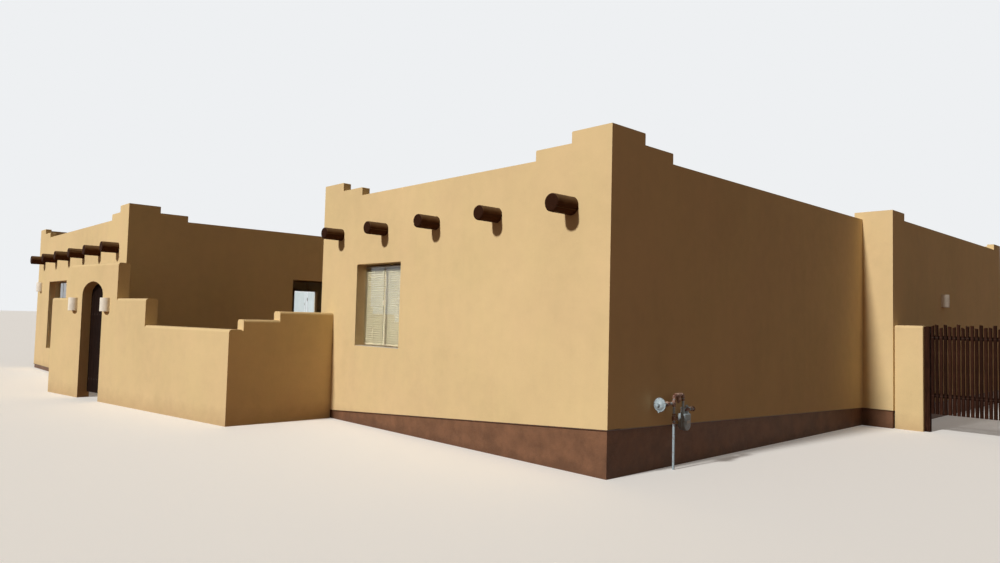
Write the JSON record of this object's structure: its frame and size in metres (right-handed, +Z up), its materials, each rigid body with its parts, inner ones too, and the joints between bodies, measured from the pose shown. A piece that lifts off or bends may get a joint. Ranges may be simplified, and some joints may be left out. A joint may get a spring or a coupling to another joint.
{
  "type": "adobe house",
  "caption": "Single-storey stucco adobe house: flat-roofed wings round a courtyard, stepped parapets, projecting roof logs and a garden wall with an arched gateway and a hinged gate.",
  "frame": {"origin": "middle of the outline seen from above, on the flat underside of the foundation", "axes": "+X to the right along the front, +Y from the front to the back, +Z up"},
  "size_m": [29.64, 22.614, 5.1],
  "materials": {
    "stucco": "matte",
    "foundation": "matte",
    "roof_gravel": "matte",
    "floor_tile": "satin",
    "log_wood": "matte",
    "white_frame": "satin",
    "window_glass": "gloss",
    "blind": "satin",
    "door_wood": "satin",
    "gate_wood": "matte",
    "iron": "satin",
    "light_shade": "matte",
    "gas_paint": "satin",
    "fence_pole": "matte"
  },
  "bodies": {
    "house": {"near_front_wall": "stucco", "near_side_wall": "stucco", "near_court_wall": "stucco", "foundation_stem": "foundation", "near_roof_deck": "roof_gravel", "near_floor": "floor_tile", "near_logs": "log_wood", "near_window_frame": "white_frame", "near_window_glass": "window_glass", "near_window_blind": "blind", "rear_return_wall": "stucco", "rear_side_wall": "stucco", "rear_back_wall": "stucco", "court_back_wall": "stucco", "rear_roof_deck": "roof_gravel", "rear_floor": "floor_tile", "far_front_wall": "stucco", "far_court_wall": "stucco", "far_side_wall": "stucco", "far_roof_deck": "roof_gravel", "far_floor": "floor_tile", "far_logs": "log_wood", "garden_door_frame": "white_frame", "garden_door_glass": "window_glass", "plain_window_frames": "white_frame", "plain_window_glass": "window_glass", "entry_door": "door_wood", "back_door": "door_wood", "door_frames": "door_wood", "garden_return_wall": "stucco", "garden_low_wall": "stucco", "garden_shoulder_right": "stucco", "garden_shoulder_left": "stucco", "garden_end_wall": "stucco", "gateway_piers": "stucco", "gateway_arch": "stucco", "gate_pins": "iron", "gateway_lights": "light_shade", "house_lights": "light_shade", "gas_riser": "gas_paint", "gas_regulator": "gas_paint", "gas_meter": "gas_paint", "yard_stub_wall": "stucco", "yard_fence": "fence_pole"},
    "gate": {"gate_leaf": "gate_wood"}
  },
  "joints": [
    {"name": "gate_hinge", "type": "hinge", "parent": "house", "child": "gate", "pos_m": [-3.8342, -10.72644, 1.4], "axis": [0, 0, 1], "range_deg": [0, 95]}
  ]
}
